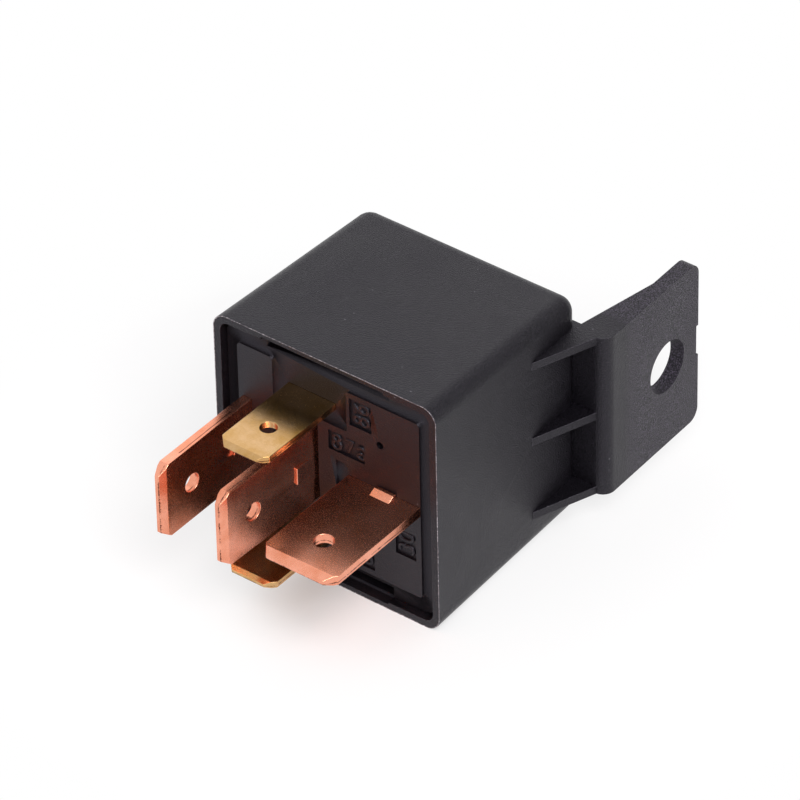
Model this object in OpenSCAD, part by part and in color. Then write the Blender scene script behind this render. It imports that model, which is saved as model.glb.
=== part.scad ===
// Five-blade changeover power relay for vehicles, lying on one flat side of its cover.
// Every piece is drawn about the plug axis: X runs across the terminal face, Y runs into
// the relay from the cover's open rim, and Z runs up, with the axis at the middle height.

/* [Cover] */
// Width and height of the cover at its open rim
cover_w = 29.5; // [29:0.1:30]
// Depth of the cover from its rim to the outside of its closed end
cover_d = 25.6; // [25.6:0.1:26]
// Narrowing of each side from the rim to the closed end
cover_draft = 0.57; // [0.4:0.01:0.6]
// Thickness of the side walls
cover_wall = 0.9; // [0.8:0.05:0.95]
// Thickness of the closed end
cover_end = 1.2; // [0.8:0.1:1.2]
// Radius of the four long corners
corner_r = 1.85; // [1:0.05:2.5]
// Radius of the edges round the closed end
end_r = 1.9; // [1:0.05:2.5]

/* [Bracket] */
// Height of the moulded mounting tab and of its root
bracket_h = 21; // [18:0.5:23]
// How far the tab's outer face stands off the cover's side
bracket_out = 3.7; // [3.4:0.1:4.5]
// Distance from the rim to the tab's tip
bracket_tip = 41.9; // [40:0.1:45]
// Thickness of the tab beyond its thick root
tab_t = 1.8; // [1.5:0.1:2.2]
// Diameter of the fixing hole
hole_d = 6.3; // [5:0.1:6.6]
// Distance from the rim to the fixing hole's axis
hole_y = 36; // [35:0.1:36.5]
// Thickness of each gusset
gusset_t = 1; // [0.8:0.1:1.5]
// Length of each gusset along the cover's side
gusset_len = 7.6; // [5:0.1:10]

/* [Base] */
// Distance from the rim back to the face of the base
base_y = 1; // [0.8:0.1:1.2]
// Thickness of the base
base_t = 2.6; // [2.4:0.1:2.6]
// Height of the raised pads on the face of the base
pad_h = 0.5; // [0.3:0.05:0.6]

/* [Terminals] */
// Width of the three load blades
load_w = 9.5; // [9:0.1:9.5]
// Thickness of the three load blades
load_t = 1.2; // [1.1:0.05:1.2]
// Distance from the rim to the tip of the load blades
load_tip = 14.7; // [13:0.1:15]
// Width of the two coil blades
coil_w = 6.3; // [6:0.1:6.3]
// Thickness of the two coil blades
coil_t = 0.8; // [0.7:0.05:0.8]
// Distance from the rim to the tip of the upper coil blade
coil_tip = 11.15; // [10:0.05:13]
// How much deeper the lower coil blade is pressed in
coil_deeper = 0.45; // [0:0.05:0.5]
// Distance of each coil blade's outer face from the plug axis
coil_z = 8.9; // [8.8:0.1:9]
// Place of the normally open blade across the face
open_x = -10.9; // [-11:0.05:-10.8]
// Place of the normally closed blade across the face
closed_x = -2.3; // [-2.4:0.05:-2.2]
// Place of the common blade's middle across the face
common_x = 7.3; // [7:0.05:7.4]
// Place of the coil blades' middle across the face
coil_x = -2.4; // [-2.5:0.05:-2.3]

/* [Magnet] */
// Place of the coil's axis across the face
magnet_x = 2.4; // [2.3:0.05:2.5]
// Diameter of the core
core_d = 6.5; // [5.5:0.1:6.6]
// Outer diameter of the winding
winding_d = 13.4; // [12:0.1:13.6]
// Number of wire turns in the winding's outer layer
winding_turns = 16; // [12:1:26]
// Thickness of the yoke and of its upright leg
yoke_t = 1.6; // [1.4:0.1:1.7]
// Thickness of the armature
armature_t = 1.5; // [1.3:0.1:1.6]

/* [Contacts] */
// Gap that the moving contact closes
contact_gap = 0.8; // [0.6:0.05:0.9]
// Place of the contacts across the face
contact_x = -8.2; // [-8.4:0.05:-8]
// Diameter of the contact faces
contact_d = 3.2; // [2.8:0.1:3.4]
// Thickness of the contact spring
leaf_t = 0.3; // [0.25:0.05:0.35]

/* [Hidden] */
$fn = 48;
HULL_FN = 32;
eps = 0.01;
fit_gap = 0.05;          // play between a piece and the one that slides over it
axis_z = cover_w / 2;    // height of the plug axis above the resting face
bracket_x = cover_w / 2 + bracket_out;
row_shift = [-bracket_out / 2, -(bracket_tip - load_tip) / 2, axis_z];

far_half = cover_w / 2 - cover_draft;
inner_half = cover_w / 2 - cover_wall;
inner_far = far_half - cover_wall;
end_inside = cover_d - cover_end;
wall_y = cover_d - 1.1;   // front face of the bracket's root
round_r = 1.5;            // bend between the root and the tab
tab_lean = 0.45;          // how far the tab leans back towards its tip
tab_kink = 35.8;          // where the thick root has thinned to the tab
gate_len = 3.9;           // notch that the moulding gate leaves in the tip
gate_cut = 0.35;

base_back = base_y + base_t;
base_half = inner_half - 3 * fit_gap;    // the cover narrows inwards
slot_half = 8.1;          // half length of the snap slots at the top and bottom edges
slot_deep = 0.95;

foot_y = base_back + load_t;       // terminal feet lie on the base up to here
yoke_y = foot_y;
yoke_top = 18.8;
flange_t = 1;
flange_half = 7.2;
bobbin_y = yoke_y + yoke_t + fit_gap;
bobbin_top = 17.5;
pole_d = 9;
pole_t = yoke_top - bobbin_top - fit_gap;
yoke_half = 6;
riser_x = magnet_x + flange_half + 0.2;
hinge_x = riser_x + yoke_t;
horn_w = 1.3;
horn_h = 2.2;

armature_y = yoke_top + fit_gap;    // under face of the closed armature
leaf_y = armature_y + armature_t;
tip_h = 0.5;                        // height of each face of the moving contact
fixed_h = 0.6;
open_face = leaf_y - tip_h - fit_gap;
closed_face = open_face + contact_gap + leaf_t + 2 * tip_h + 2 * fit_gap;
open_plate = open_face - fixed_h;   // upper side of the normally open contact carrier
closed_plate = closed_face + fixed_h;
armature_swing = contact_gap / (hinge_x - contact_x) * 180 / PI;
armature_end = magnet_x - 5.2;
leaf_w = 5;
leaf_from = hinge_x - 1.4;
rivet_places = [magnet_x - 1.6, magnet_x + 4.2];

spring_wire = 0.3;
spring_r = 0.7;
spring_x = hinge_x + spring_r + spring_wire / 2 + 0.15;
spring_from = 9;
spring_to = 17.2;
spring_turns = 12;
spring_steps = 12;                  // straight pieces in each turn
spring_hole = 0.7;
tail_w = 2.4;                       // tongues that the spring's ends hook through
tail_end = spring_x + 0.75;

lug_holes = [8, 10];                // holes in each coil lug, for the coil wire and the resistor
lug_end = 11;
resistor_at = [-5.9, 12.2];
resistor_half = 3;

// ---- shared shapes -------------------------------------------------------------------

// Rectangle with four round corners, centred.
module round_rect(w, h, r) {
    square([w, h - 2 * r], center = true);
    square([w - 2 * r, h], center = true);
    for (sx = [-1, 1], sy = [-1, 1])
        translate([sx * (w / 2 - r), sy * (h / 2 - r)]) circle(r);
}

// Plate in the XZ plane that runs from y0 to y1.
module plate_y(y0, y1) {
    translate([0, y1, 0]) rotate([90, 0, 0]) linear_extrude(y1 - y0) children();
}

// Cylinder along Y from y0 to y1.
module rod_y(x, z, d, y0, y1) {
    translate([x, y1, z]) rotate([90, 0, 0]) cylinder(d = d, h = y1 - y0);
}

// Box between two opposite corners.
module span(a, b) {
    translate(a) cube(b - a);
}

// Moves a piece from the plug axis to its place on the resting surface.
module place() {
    translate(row_shift) children();
}

// The moving group is drawn with the armature closed, and this opens it about its hinge.
module opened() {
    translate([hinge_x, yoke_top, 0]) rotate([0, 0, -armature_swing])
        translate([-hinge_x, -yoke_top, 0]) children();
}

// Point at t on the smooth curve that leaves a towards b and reaches d from c.
function bezier(a, b, c, d, t) =
    pow(1 - t, 3) * a + 3 * pow(1 - t, 2) * t * b + 3 * (1 - t) * t * t * c + t * t * t * d;

function unit(v) = v / norm(v);

// Direction of a path at its point i.
function heading(path, i) =
    unit(path[min(i + 1, len(path) - 1)] - path[max(i - 1, 0)]);

// Side direction u carried along a path without twist, one for each point from i on.
function carried(path, i, u) = i == len(path) ? [] :
    let (t = heading(path, i), v = unit(u - (u * t) * t))
    concat([v], carried(path, i + 1, v));

// Round wire along a path, with flat ends.
module wire(path, d, sides) {
    rings = len(path);
    start = abs(heading(path, 0)[0]) < 0.8 ? [1, 0, 0] : [0, 1, 0];
    side = carried(path, 0, start);
    points = [for (i = [0 : rings - 1])
        let (u = side[i], v = cross(heading(path, i), u))
        each [for (k = [0 : sides - 1])
            path[i] + d / 2 * (cos(k * 360 / sides) * u + sin(k * 360 / sides) * v)]];
    walls = [for (i = [0 : rings - 2], k = [0 : sides - 1])
        let (a = i * sides + k, b = i * sides + (k + 1) % sides)
        [a, a + sides, b + sides, b]];
    ends = [[for (k = [0 : sides - 1]) k], [for (k = [sides - 1 : -1 : 0]) (rings - 1) * sides + k]];
    polyhedron(points = points, faces = concat(walls, ends));
}

// Wire along one smooth curve.
module bent_wire(a, b, c, d, thick) {
    steps = 12;
    wire([for (i = [0 : steps]) bezier(a, b, c, d, i / steps)], thick, 8);
}

// ---- cover ---------------------------------------------------------------------------

// Tapered box with round long corners and round edges at its far end.
module drafted_box(half_0, half_1, y0, y1, r, r_end) {
    hull() {
        for (sx = [-1, 1], sz = [-1, 1]) {
            rod_y(sx * (half_0 - r), sz * (half_0 - r), 2 * r, y0, y0 + 0.1, $fn = HULL_FN);
            translate([sx * (half_1 - r_end), y1 - r_end, sz * (half_1 - r_end)])
                rotate([90, 0, 0]) sphere(r_end, $fn = HULL_FN);
        }
    }
}

// Half outline of the bracket seen from above: root, bend, leaning tab and thick root.
module bracket_outline() {
    x0 = far_half - cover_wall;
    polygon([
        [x0, wall_y], [bracket_x - round_r, wall_y],
        [bracket_x - round_r, wall_y + round_r], [bracket_x, wall_y + round_r],
        [bracket_x - tab_lean, bracket_tip],
        [bracket_x - tab_lean - tab_t, bracket_tip],
        [bracket_x - tab_lean - tab_t + 0.17, tab_kink],
        [far_half + 0.25, cover_d], [x0, cover_d]
    ]);
    translate([bracket_x - round_r, wall_y + round_r]) circle(round_r);
}

// Outline of the tab seen from the side, with round tip corners and the gate notch.
module tab_outline() {
    r = 1.5;
    difference() {
        union() {
            translate([0, -bracket_h / 2]) square([bracket_tip - r, bracket_h]);
            translate([0, -bracket_h / 2 + r]) square([bracket_tip, bracket_h - 2 * r]);
            for (s = [-1, 1])
                translate([bracket_tip - r, s * (bracket_h / 2 - r)]) circle(r);
        }
        translate([bracket_tip - gate_cut, -gate_len / 2]) square([1, gate_len]);
    }
}

// Three triangular ribs between the cover's side and the bracket's root.
module gussets() {
    for (z = [-bracket_h / 2, -gusset_t / 2, bracket_h / 2 - gusset_t])
        translate([0, 0, z]) linear_extrude(gusset_t)
            polygon([[far_half - 0.2, wall_y - gusset_len], [far_half + 0.2, wall_y - gusset_len],
                     [bracket_x - round_r + 0.3, wall_y + 0.2], [far_half - 0.2, wall_y + 0.2]]);
}

// Deep-drawn shape of the cover's cavity, open at the rim.
module cavity() {
    drafted_box(inner_half, inner_far, -1, end_inside, corner_r - cover_wall + 0.2, 1);
}

// Two ridges inside the cover that the base snaps behind.
module snap_ridges() {
    ridge = 0.45;
    for (s = [0, 1]) mirror([0, 0, s])
        translate([-slot_half + 0.4, 0, 0]) rotate([90, 0, 90]) linear_extrude(2 * slot_half - 0.8)
            polygon([[base_back + fit_gap, inner_half + 0.2], [base_back + fit_gap, inner_half - ridge],
                     [base_back + 0.3, inner_half - ridge], [base_back + 1.2, inner_half + 0.2]]);
}

// Moulded cover, with the mounting bracket and its gussets in the same piece.
module cover() {
    color("#2b2b2e") place() {
        difference() {
            union() {
                drafted_box(cover_w / 2, far_half, 0, cover_d, corner_r, end_r);
                intersection() {
                    translate([0, 0, -bracket_h / 2]) linear_extrude(bracket_h) bracket_outline();
                    rotate([90, 0, 90]) linear_extrude(bracket_x + 1) tab_outline();
                }
                gussets();
            }
            cavity();
            translate([0, hole_y, 0]) rotate([0, 90, 0]) cylinder(d = hole_d, h = bracket_x + 5);
        }
        snap_ridges();
    }
}

// ---- base ----------------------------------------------------------------------------

// Rectangle from corner [x, z], w by h, with round corners.
module land(x, z, w, h) {
    translate([x + w / 2, z + h / 2]) round_rect(w, h, 0.4);
}

// Raised areas on the base's face round the blades, with a low place beside the common blade.
module pads() {
    pad_z = 11.6;
    plate_y(base_y - pad_h, base_y + eps) difference() {
        union() {
            land(-12, -pad_z, 4.7, 2 * pad_z);
            land(2.5, -pad_z, 9.6, 2 * pad_z);
            land(-1.4, -6.3, 4.5, 12.6);
        }
        translate([0.9, -1.5]) square([1.65, 3.4]);
    }
}

// Sunk places on the raised areas, one beside each blade, for its raised number.
module number_wells() {
    well = 0.3;
    plate_y(base_y - pad_h - 1, base_y - pad_h + well) {
        translate([2.9, 7.45]) square([2.9, 3.45]);
        translate([2.9, -10.9]) square([2.9, 3.45]);
        translate([0, 3]) square([4.8, 2.5]);
        translate([8.7, -6.9]) square([2.7, 3.4]);
        translate([-11.4, -10.9]) square([3.5, 2.5]);
    }
}

// Room for one blade, a little larger than its section.
module blade_slot(x, z, w, h) {
    plate_y(0, base_back + 1) translate([x, z]) square([w + fit_gap, h + fit_gap], center = true);
}

// Moulded plate that carries the blades and the magnet.
module base() {
    vent_d = 0.9;
    color("#29282b") place() difference() {
        union() {
            plate_y(base_y, base_back) round_rect(2 * base_half, 2 * base_half, 1.7);
            pads();
        }
        number_wells();
        for (s = [-1, 1])
            plate_y(0, base_back - 0.8) translate([-0.2, s * (base_half - slot_deep / 2 + 0.5)])
                square([2 * slot_half, slot_deep + 1], center = true);
        blade_slot(open_x, 0, load_t, load_w);
        blade_slot(closed_x, 0, load_t, load_w);
        blade_slot(common_x, 0, load_w, load_t);
        for (s = [-1, 1]) blade_slot(coil_x, s * (coil_z - coil_t / 2), coil_w, coil_t);
        rod_y(6.9, 6.5, vent_d, 0, base_back + 1);
    }
}

// ---- terminals -----------------------------------------------------------------------

// Flat blade that points down -Y, centred on X and Z, with a detent hole hole_at from the tip,
// a body that runs in to y_end, corners cut by corner [across, along], and a bevelled tip.
module blade(w, t, tip, hole, hole_at, y_end, corner, bevel) {
    edge = t * 0.28;
    difference() {
        intersection() {
            translate([0, 0, -t / 2]) linear_extrude(t)
                polygon([[-w / 2, y_end], [-w / 2, -tip + corner.y], [-w / 2 + corner.x, -tip],
                         [w / 2 - corner.x, -tip], [w / 2, -tip + corner.y], [w / 2, y_end]]);
            translate([-w, 0, 0]) rotate([90, 0, 90]) linear_extrude(2 * w)
                polygon([[y_end, -t / 2], [y_end, t / 2], [-tip + bevel, t / 2], [-tip, t / 2 - edge],
                         [-tip, -t / 2 + edge], [-tip + bevel, -t / 2]]);
        }
        translate([0, hole_at - tip, -t]) cylinder(d = hole, h = 2 * t);
    }
}

// Small tongue lanced up from a load blade, w wide about x, that stops it in the base. It
// rises from the blade's face at foot to its full rise at top and ends 0.4 mm further on.
module lance(x, w, foot, top, rise) {
    face = load_t / 2;
    free = top + 0.4 * sign(top - foot);
    translate([x - w / 2, 0, 0]) rotate([90, 0, 90]) linear_extrude(w)
        polygon([[foot, face - 0.1], [foot, face], [top, face + rise], [free, face + rise],
                 [free, face - 0.1]]);
}

// Load blade without its lance, lying in the XY plane.
module load_blade(y_end) {
    blade(load_w, load_t, load_tip, 2.2, 5, y_end, [1, 1.35], 0.95);
}

// Load blade that stands on edge, its face towards +X, with a long low lance.
module upright_blade(x, y_end) {
    translate([x, 0, 0]) rotate([0, 90, 0]) {
        load_blade(y_end);
        lance(-0.45, 2.1, -0.2, -2.5, 0.25);
    }
}

// Common terminal: its foot turns under the yoke.
module terminal_30() {
    color("#c9795a") place() {
        translate([common_x, 0, 0]) {
            load_blade(foot_y);
            lance(0.35, 2.6, -0.9, 0, 0.45);
        }
        difference() {
            span([common_x - load_w / 2, base_back, -load_t / 2], [common_x + 3.6, foot_y, 5]);
            for (x = [common_x - 2.4, common_x + 1.6]) rod_y(x, 3, 1.8, 0, foot_y + 1);
        }
    }
}

// Normally open terminal: a strip beside the coil that carries the lower fixed contact.
module terminal_87() {
    left = open_x - load_t / 2;
    color("#c9795a") place() {
        upright_blade(open_x, base_back);
        span([left, base_back - eps, -3.6], [left + load_t, open_plate, 3.6]);
        difference() {
            span([left, open_plate - load_t, -2.5], [contact_x + 1.9, open_plate, 2.5]);
            rod_y(contact_x, 0, 1.6, 0, cover_d);
        }
    }
}

// Normally closed terminal: its foot turns aside, its strip climbs beside the coil, and its
// end turns back over the moving contact.
module terminal_87a() {
    right = closed_x + load_t / 2;
    strip_x = -6.6;
    strip_z = 5.4;
    strip_w = 3;
    color("#c9795a") place() {
        upright_blade(closed_x, foot_y);
        span([strip_x, base_back, 1.2], [right, foot_y, 4.6]);
        span([strip_x, base_back, 1.2], [strip_x + load_t, foot_y, strip_z + strip_w]);
        span([strip_x, base_back, strip_z], [strip_x + load_t, closed_plate + load_t, strip_z + strip_w]);
        difference() {
            union() {
                span([contact_x - 1.9, closed_plate, strip_z],
                     [strip_x + load_t, closed_plate + load_t, strip_z + strip_w]);
                span([contact_x - 1.9, closed_plate, -2.2],
                     [contact_x + 1.9, closed_plate + load_t, strip_z + strip_w]);
            }
            rod_y(contact_x, 0, 1.6, 0, cover_d);
        }
    }
}

// Coil terminal above or below the axis, with a narrow lug beside the bobbin.
module coil_terminal(side, tip) {
    z = side * (coil_z - coil_t / 2);
    color("#d9a93f") place() difference() {
        union() {
            translate([coil_x, 0, z]) blade(coil_w, coil_t, tip, 1.9, 4.85, base_back, [1, 1.05], 0.6);
            translate([coil_x, 0, z]) span([-1.4, base_back - eps, -coil_t / 2], [1.4, lug_end, coil_t / 2]);
        }
        for (y = lug_holes) translate([coil_x, y, z - coil_t]) cylinder(d = 0.9, h = 2 * coil_t);
    }
}

module terminal_86() { coil_terminal(1, coil_tip); }

module terminal_85() { coil_terminal(-1, coil_tip - coil_deeper); }

// ---- contacts ------------------------------------------------------------------------

// Riveted contact: a head with a slightly domed face, a shank, and a closed end.
module fixed_contact(face, plate, dir) {
    shank = load_t + 0.5;
    translate([contact_x, plate, 0]) rotate([-90 * dir, 0, 0]) rotate_extrude()
        polygon([[0, -shank], [1.15, -shank], [1.15, -load_t - 0.02], [0.8, -load_t - 0.02],
                 [0.8, 0], [contact_d / 2, 0], [contact_d / 2, fixed_h - 0.2],
                 [contact_d / 2 - 0.4, fixed_h], [0, fixed_h]]);
}

module contact_normally_open() {
    color("#c8c4bc") place() fixed_contact(open_face, open_plate, 1);
}

module contact_normally_closed() {
    color("#c8c4bc") place() fixed_contact(closed_face, closed_plate, -1);
}

// ---- magnet --------------------------------------------------------------------------

// L-shaped iron yoke with two horns that keep the armature in place.
module yoke() {
    left = closed_x + load_t / 2 + 0.4;
    tongue_y = spring_from - 1.6;
    color("#8d9096") place() difference() {
        union() {
            span([hinge_x - eps, tongue_y, -tail_w / 2], [tail_end, tongue_y + 0.8, tail_w / 2]);
            span([left, yoke_y, -yoke_half], [hinge_x, yoke_y + yoke_t, yoke_half]);
            span([riser_x, yoke_y, -yoke_half], [hinge_x, yoke_top, yoke_half]);
            for (s = [-1, 1])
                span([riser_x, yoke_top - 1, s * yoke_half - (s > 0 ? horn_w : 0)],
                     [hinge_x, yoke_top + horn_h, s * yoke_half + (s > 0 ? 0 : horn_w)]);
        }
        rod_y(spring_x, 0, spring_hole, tongue_y - 1, tongue_y + 2);
        rod_y(magnet_x, 0, core_d - 0.8, 0, yoke_y + yoke_t + 1);
        for (x = [common_x - 2.4, common_x + 1.6]) rod_y(x, 3, 1.8, 0, yoke_y + yoke_t + 1);
    }
}

// Two rivets that hold the common terminal's foot on the yoke.
module common_rivets() {
    color("#b8b2a6") place() for (x = [common_x - 2.4, common_x + 1.6])
        rod_y(x, 3, 1.8, base_back + 0.05, yoke_y + yoke_t);
}

// Iron core with a wide pole face and a staked lower end.
module core() {
    color("#9a9ca0") place() translate([magnet_x, yoke_top, 0]) rotate([90, 0, 0]) rotate_extrude()
        polygon([[0, 0], [pole_d / 2 - 0.3, 0], [pole_d / 2, 0.3], [pole_d / 2, pole_t],
                 [core_d / 2, pole_t], [core_d / 2, yoke_top - yoke_y - yoke_t],
                 [core_d / 2 - 0.4, yoke_top - yoke_y - yoke_t],
                 [core_d / 2 - 0.4, yoke_top - yoke_y], [0, yoke_top - yoke_y]]);
}

// Moulded bobbin: a tube with a square flange at each end.
module bobbin() {
    color("#d8d2bd") place() translate([magnet_x, 0, 0]) difference() {
        union() {
            for (y = [bobbin_y, bobbin_top - flange_t])
                plate_y(y, y + flange_t) round_rect(2 * flange_half, 2 * flange_half, 1.5);
            rod_y(0, 0, core_d + 1.6, bobbin_y, bobbin_top);
        }
        rod_y(0, 0, core_d + 2 * fit_gap, 0, cover_d);
    }
}

// Outline of the winding from its inner to its outer radius, with one bead for each turn.
function winding_profile(r_in, r_out, y0, y1, n) =
    let (pitch = (y1 - y0) / n)
    concat([[r_in, y0]],
           [for (i = [0 : n - 1], a = [0, 90, 180])
               [r_out - pitch / 2 + pitch / 2 * sin(a), y0 + pitch * (i + 0.5 - 0.499 * cos(a))]],
           [[r_in, y1]]);

module coil_winding() {
    color("#a4552b") place() translate([magnet_x, 0, 0]) rotate([-90, 0, 0]) rotate_extrude()
        polygon(winding_profile(core_d / 2 + 0.8 + 0.02, winding_d / 2, bobbin_y + flange_t + 0.05,
                                bobbin_top - flange_t - 0.05, winding_turns));
}

// Two enamelled wire ends from the winding to the lugs of the coil terminals.
module coil_leads() {
    y = lug_holes[0];
    start_z = winding_d / 2 + 0.14;
    color("#a4552b") place() for (s = [0, 1]) mirror([0, 0, s])
        bent_wire([magnet_x - 1.2, y, start_z], [magnet_x - 3.6, y, start_z],
                  [coil_x, y, start_z + 0.2], [coil_x, y, coil_z + 0.15], 0.4);
}

// ---- suppression resistor ------------------------------------------------------------

// Fired resistor body with swollen ends.
module resistor_body() {
    half = resistor_half;
    color("#5d87a8") place() translate([resistor_at[0], resistor_at[1], 0]) rotate_extrude()
        polygon([[0, -half], [0.9, -half], [1.15, -half + 0.4], [1.15, -half + 1.2], [0.95, -half + 1.6],
                 [0.95, half - 1.6], [1.15, half - 1.2], [1.15, half - 0.4], [0.9, half], [0, half]]);
}

// Tinned wires from the resistor to the two coil terminals.
module resistor_leads() {
    x = resistor_at[0];
    y = resistor_at[1];
    color("#c9c9c9") place() for (s = [0, 1]) mirror([0, 0, s])
        bent_wire([x, y, resistor_half + fit_gap], [x, y, resistor_half + 2.2],
                  [coil_x, lug_holes[1], 5.6], [coil_x, lug_holes[1], coil_z + 0.2], 0.5);
}

// ---- moving group --------------------------------------------------------------------

// Hinged iron plate, notched round the yoke's horns.
module armature() {
    notch = horn_w + 0.25;
    color("#8d9096") place() opened() plate_y(armature_y, armature_y + armature_t) difference() {
        union() {
            translate([armature_end, -yoke_half]) square([riser_x - 0.25 - armature_end, 2 * yoke_half]);
            translate([armature_end, -yoke_half + notch])
                square([hinge_x - armature_end, 2 * (yoke_half - notch)]);
            translate([armature_end, -tail_w / 2]) square([tail_end - armature_end, tail_w]);
        }
        for (x = rivet_places) translate([x, 0]) circle(d = 1.6);
        translate([spring_x, 0]) circle(d = spring_hole);
    }
}

// Springy copper strip that carries the moving contact past the armature's end.
module contact_leaf() {
    color("#c98a4f") place() opened() plate_y(leaf_y, leaf_y + leaf_t) difference() {
        union() {
            translate([contact_x, -leaf_w / 2]) square([leaf_from - contact_x, leaf_w]);
            translate([contact_x, 0]) circle(leaf_w / 2);
        }
        translate([contact_x, 0]) circle(d = 1.6);
        for (x = rivet_places) translate([x, 0]) circle(d = 1.6);
    }
}

// Double contact rivet that closes on one side or the other.
module moving_contact() {
    color("#c8c4bc") place() opened() translate([contact_x, leaf_y + leaf_t / 2, 0])
        rotate([90, 0, 0]) rotate_extrude()
            polygon([[0, -leaf_t / 2 - tip_h], [contact_d / 2 - 0.4, -leaf_t / 2 - tip_h],
                     [contact_d / 2, -leaf_t / 2 - tip_h + 0.2], [contact_d / 2, -leaf_t / 2],
                     [0.8, -leaf_t / 2], [0.8, leaf_t / 2], [contact_d / 2, leaf_t / 2],
                     [contact_d / 2, leaf_t / 2 + tip_h - 0.2], [contact_d / 2 - 0.4, leaf_t / 2 + tip_h],
                     [0, leaf_t / 2 + tip_h]]);
}

// Two rivets that fix the contact leaf to the armature.
module armature_rivets() {
    head = 0.55;
    color("#b8b2a6") place() opened() for (x = rivet_places)
        translate([x, leaf_y + leaf_t, 0]) rotate([-90, 0, 0]) rotate_extrude()
            polygon([[0, -leaf_t - armature_t + 0.1], [0.8, -leaf_t - armature_t + 0.1], [0.8, 0],
                     [1.3, 0], [1.3, head - 0.25], [0.95, head], [0, head]]);
}

// ---- return spring -------------------------------------------------------------------

// Path of the spring: a straight end, the closely wound turns, and the other straight end.
function spring_path() =
    let (n = spring_turns * spring_steps, pitch = (spring_to - spring_from) / n)
    concat([[0, spring_from - 2.2, 0], [0, spring_from - 0.8, 0], [spring_r * 0.75, spring_from - 0.25, -0.4]],
           [for (i = [0 : n]) let (a = i * 360 / spring_steps)
               [spring_r * cos(a), spring_from + i * pitch, spring_r * sin(a)]],
           [[spring_r * 0.75, spring_to + 0.25, 0.4], [0, spring_to + 0.8, 0],
            [0, armature_y + armature_t + 0.5, 0]]);

// Tension spring behind the yoke that lifts the armature off the core.
module return_spring() {
    color("#b9bcc0") place() translate([spring_x, 0, 0]) wire(spring_path(), spring_wire, 6);
}

cover();
base();
terminal_30();
terminal_87();
terminal_87a();
terminal_86();
terminal_85();
contact_normally_open();
contact_normally_closed();
yoke();
common_rivets();
core();
bobbin();
coil_winding();
coil_leads();
resistor_body();
resistor_leads();
armature();
contact_leaf();
moving_contact();
armature_rivets();
return_spring();
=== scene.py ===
"""Looks of a five-blade changeover power relay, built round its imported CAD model.

The relay lies on one flat side of its cover. Metres, Z up; the blades point down -Y and the
cover's mounting bracket points up +Y on the +X side.
"""
import math

import bmesh
import bpy
import numpy as np
from mathutils import Matrix, Vector


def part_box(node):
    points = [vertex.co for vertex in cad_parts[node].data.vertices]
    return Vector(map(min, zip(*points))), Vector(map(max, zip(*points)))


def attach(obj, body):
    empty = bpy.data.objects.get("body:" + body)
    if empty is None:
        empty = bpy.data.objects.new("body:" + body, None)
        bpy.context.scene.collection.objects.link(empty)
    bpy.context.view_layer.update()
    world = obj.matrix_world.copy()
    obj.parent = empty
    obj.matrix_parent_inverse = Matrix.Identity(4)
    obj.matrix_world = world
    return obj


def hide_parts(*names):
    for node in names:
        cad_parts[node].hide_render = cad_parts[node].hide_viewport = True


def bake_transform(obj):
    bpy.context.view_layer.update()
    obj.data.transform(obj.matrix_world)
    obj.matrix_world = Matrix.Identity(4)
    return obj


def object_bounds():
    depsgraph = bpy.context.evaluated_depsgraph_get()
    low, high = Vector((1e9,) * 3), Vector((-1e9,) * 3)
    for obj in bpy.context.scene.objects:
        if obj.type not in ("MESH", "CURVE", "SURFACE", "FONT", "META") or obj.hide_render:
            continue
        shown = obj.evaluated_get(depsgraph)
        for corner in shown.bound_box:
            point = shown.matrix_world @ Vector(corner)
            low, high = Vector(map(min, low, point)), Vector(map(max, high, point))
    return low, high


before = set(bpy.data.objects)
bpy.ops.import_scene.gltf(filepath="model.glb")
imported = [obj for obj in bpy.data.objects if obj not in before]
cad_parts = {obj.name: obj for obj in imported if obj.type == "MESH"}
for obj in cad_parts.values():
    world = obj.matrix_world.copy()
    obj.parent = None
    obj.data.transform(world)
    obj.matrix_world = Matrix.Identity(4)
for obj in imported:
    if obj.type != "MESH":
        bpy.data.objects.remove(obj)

cad_low, cad_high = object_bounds()
MM = 0.001

# ---- Camera, floor and light -----------------------------------------------------------
# A product table: a white paper floor in a white room, a soft box high on the right and a wider
# one behind on the left, and a black flag behind on the right that darkens the rounded edges.


def linear(code):
    """sRGB hex colour as linear red, green, blue and alpha."""
    levels = [int(code[i:i + 2], 16) / 255 for i in (1, 3, 5)]
    return tuple(c / 12.92 if c <= 0.04045 else ((c + 0.055) / 1.055) ** 2.4 for c in levels) + (1.0,)


def add(tree, kind, inputs=None, **settings):
    """Adds a shader node: settings are its properties, inputs are socket values or links."""
    node = tree.nodes.new("ShaderNode" + kind)
    for name, value in settings.items():
        setattr(node, name, value)
    for key, value in (inputs or {}).items():
        if isinstance(value, bpy.types.NodeSocket):
            tree.links.new(value, node.inputs[key])
        else:
            node.inputs[key].default_value = value
    return node


def new_material(name):
    """An empty node material and its output node."""
    material = bpy.data.materials.new(name)
    material.use_nodes = True
    material.node_tree.nodes.clear()
    return material, add(material.node_tree, "OutputMaterial")


middle = (cad_low + cad_high) / 2
view_azimuth = math.radians(38.465)
view_elevation = math.radians(37.808)
view_roll = math.radians(-1.329)
view_distance = 736.1 * MM
view_target = middle + Vector((-2.07, -0.60, 1.43)) * MM

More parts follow.
